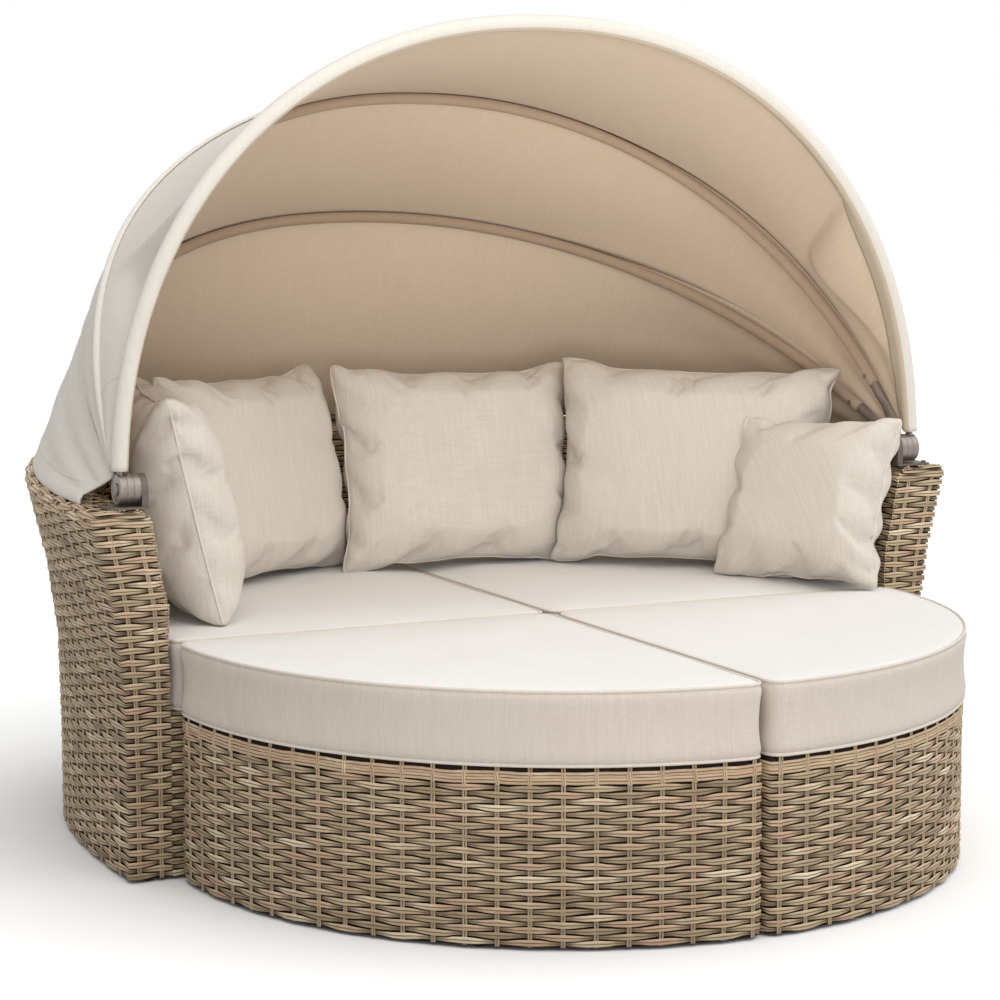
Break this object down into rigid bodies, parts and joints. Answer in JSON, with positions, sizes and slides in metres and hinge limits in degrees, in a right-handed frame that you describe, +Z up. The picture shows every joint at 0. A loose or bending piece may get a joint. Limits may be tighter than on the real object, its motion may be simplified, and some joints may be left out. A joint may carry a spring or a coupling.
{
  "type": "outdoor daybed with canopy",
  "caption": "Round wicker daybed: a sofa with a curved backrest, two quarter-round ottomans, box cushions, pillows and a fabric canopy on bows that fold back.",
  "frame": {"origin": "middle of the whole daybed's box in plan, on the floor", "axes": "+X to the sitter's left, which is the right side in the front view, +Y to the back, +Z up"},
  "size_m": [1.6988, 1.7654, 1.4717],
  "materials": {
    "wicker": "woven half-round strands, taupe and tan",
    "frame_tube": "powder coated, taupe",
    "bow_tube": "powder coated, taupe",
    "hinge_metal": "satin taupe grey",
    "glide": "moulded",
    "seat_cloth": "ivory plain weave",
    "pillow_cloth": "ivory slub weave",
    "canopy_cloth": "off-white coated canvas"
  },
  "bodies": {
    "sofa": {"canopy_hem_rail": "frame_tube", "hinge_bracket_left": "hinge_metal", "hinge_bracket_left_screw_1": "hinge_metal", "hinge_bracket_left_screw_2": "hinge_metal", "hinge_bracket_right": "hinge_metal", "hinge_bracket_right_screw_1": "hinge_metal", "hinge_bracket_right_screw_2": "hinge_metal", "hinge_pin_left": "hinge_metal", "hinge_pin_right": "hinge_metal", "pillow_centre": "pillow_cloth", "pillow_left_arm": "pillow_cloth", "pillow_left_back": "pillow_cloth", "pillow_right_back": "pillow_cloth", "seat_cushion_rear_left": "seat_cloth", "seat_cushion_rear_right": "seat_cloth", "sofa_backrest_wicker": "wicker", "sofa_deck": "wicker", "sofa_frame": "frame_tube", "sofa_front_wicker": "wicker", "sofa_glide_1": "glide", "sofa_glide_2": "glide", "sofa_glide_3": "glide", "sofa_glide_4": "glide", "sofa_glide_5": "glide"},
    "canopy_front": {"canopy_bow_front": "bow_tube", "canopy_cloth_front": "canopy_cloth"},
    "canopy_middle": {"canopy_bow_middle": "bow_tube", "canopy_cloth_middle": "canopy_cloth", "middle_bow_screw_left": "hinge_metal", "middle_bow_screw_right": "hinge_metal"},
    "canopy_rear": {"canopy_bow_rear": "bow_tube", "canopy_cloth_rear": "canopy_cloth", "rear_bow_screw_left": "hinge_metal", "rear_bow_screw_right": "hinge_metal"},
    "ottoman_left": {"ottoman_left_deck": "wicker", "ottoman_left_frame": "frame_tube", "ottoman_left_glide_1": "glide", "ottoman_left_glide_2": "glide", "ottoman_left_glide_3": "glide", "ottoman_left_glide_4": "glide", "ottoman_left_wicker": "wicker"},
    "ottoman_right": {"ottoman_right_deck": "wicker", "ottoman_right_frame": "frame_tube", "ottoman_right_glide_1": "glide", "ottoman_right_glide_2": "glide", "ottoman_right_glide_3": "glide", "ottoman_right_glide_4": "glide", "ottoman_right_wicker": "wicker"},
    "small_pillow": {"pillow_small": "pillow_cloth"},
    "front_cushion_left": {"seat_cushion_front_left": "seat_cloth"},
    "front_cushion_right": {"seat_cushion_front_right": "seat_cloth"}
  },
  "joints": [
    {"name": "canopy_rear_fold", "type": "hinge", "parent": "sofa", "child": "canopy_rear", "pos_m": [0, -0.0872, 0.6703], "axis": [-1, 0, 0], "range_deg": [0, 20.5], "deforming": ["canopy_cloth_rear"]},
    {"name": "canopy_middle_fold", "type": "hinge", "parent": "canopy_rear", "child": "canopy_middle", "pos_m": [0, -0.0872, 0.6703], "axis": [-1, 0, 0], "range_deg": [0, 11.5], "deforming": ["canopy_cloth_middle"]},
    {"name": "canopy_front_fold", "type": "hinge", "parent": "canopy_middle", "child": "canopy_front", "pos_m": [0, -0.0872, 0.6703], "axis": [-1, 0, 0], "range_deg": [0, 28], "deforming": ["canopy_cloth_front"]},
    {"name": "ottoman_right_slide", "type": "slide", "parent": "sofa", "child": "ottoman_right", "axis": [0, -1, 0], "range_m": [0, 0.6]},
    {"name": "ottoman_left_slide", "type": "slide", "parent": "sofa", "child": "ottoman_left", "axis": [0, -1, 0], "range_m": [0, 0.6]},
    {"name": "front_cushion_right_lift", "type": "slide", "parent": "ottoman_right", "child": "front_cushion_right", "axis": [0, -0.8, 0.6], "range_m": [0, 0.25]},
    {"name": "front_cushion_left_lift", "type": "slide", "parent": "ottoman_left", "child": "front_cushion_left", "axis": [0, -0.8, 0.6], "range_m": [0, 0.25]},
    {"name": "small_pillow_lift", "type": "slide", "parent": "sofa", "child": "small_pillow", "axis": [0, -0.8, 0.6], "range_m": [0, 0.25]}
  ],
  "couplings": [
    {"joint": "canopy_middle_fold", "follows": "canopy_rear_fold", "ratio": 0.56098},
    {"joint": "canopy_front_fold", "follows": "canopy_rear_fold", "ratio": 1.3659},
    {"joint": "small_pillow_lift", "follows": "front_cushion_right_lift", "ratio": 1}
  ]
}
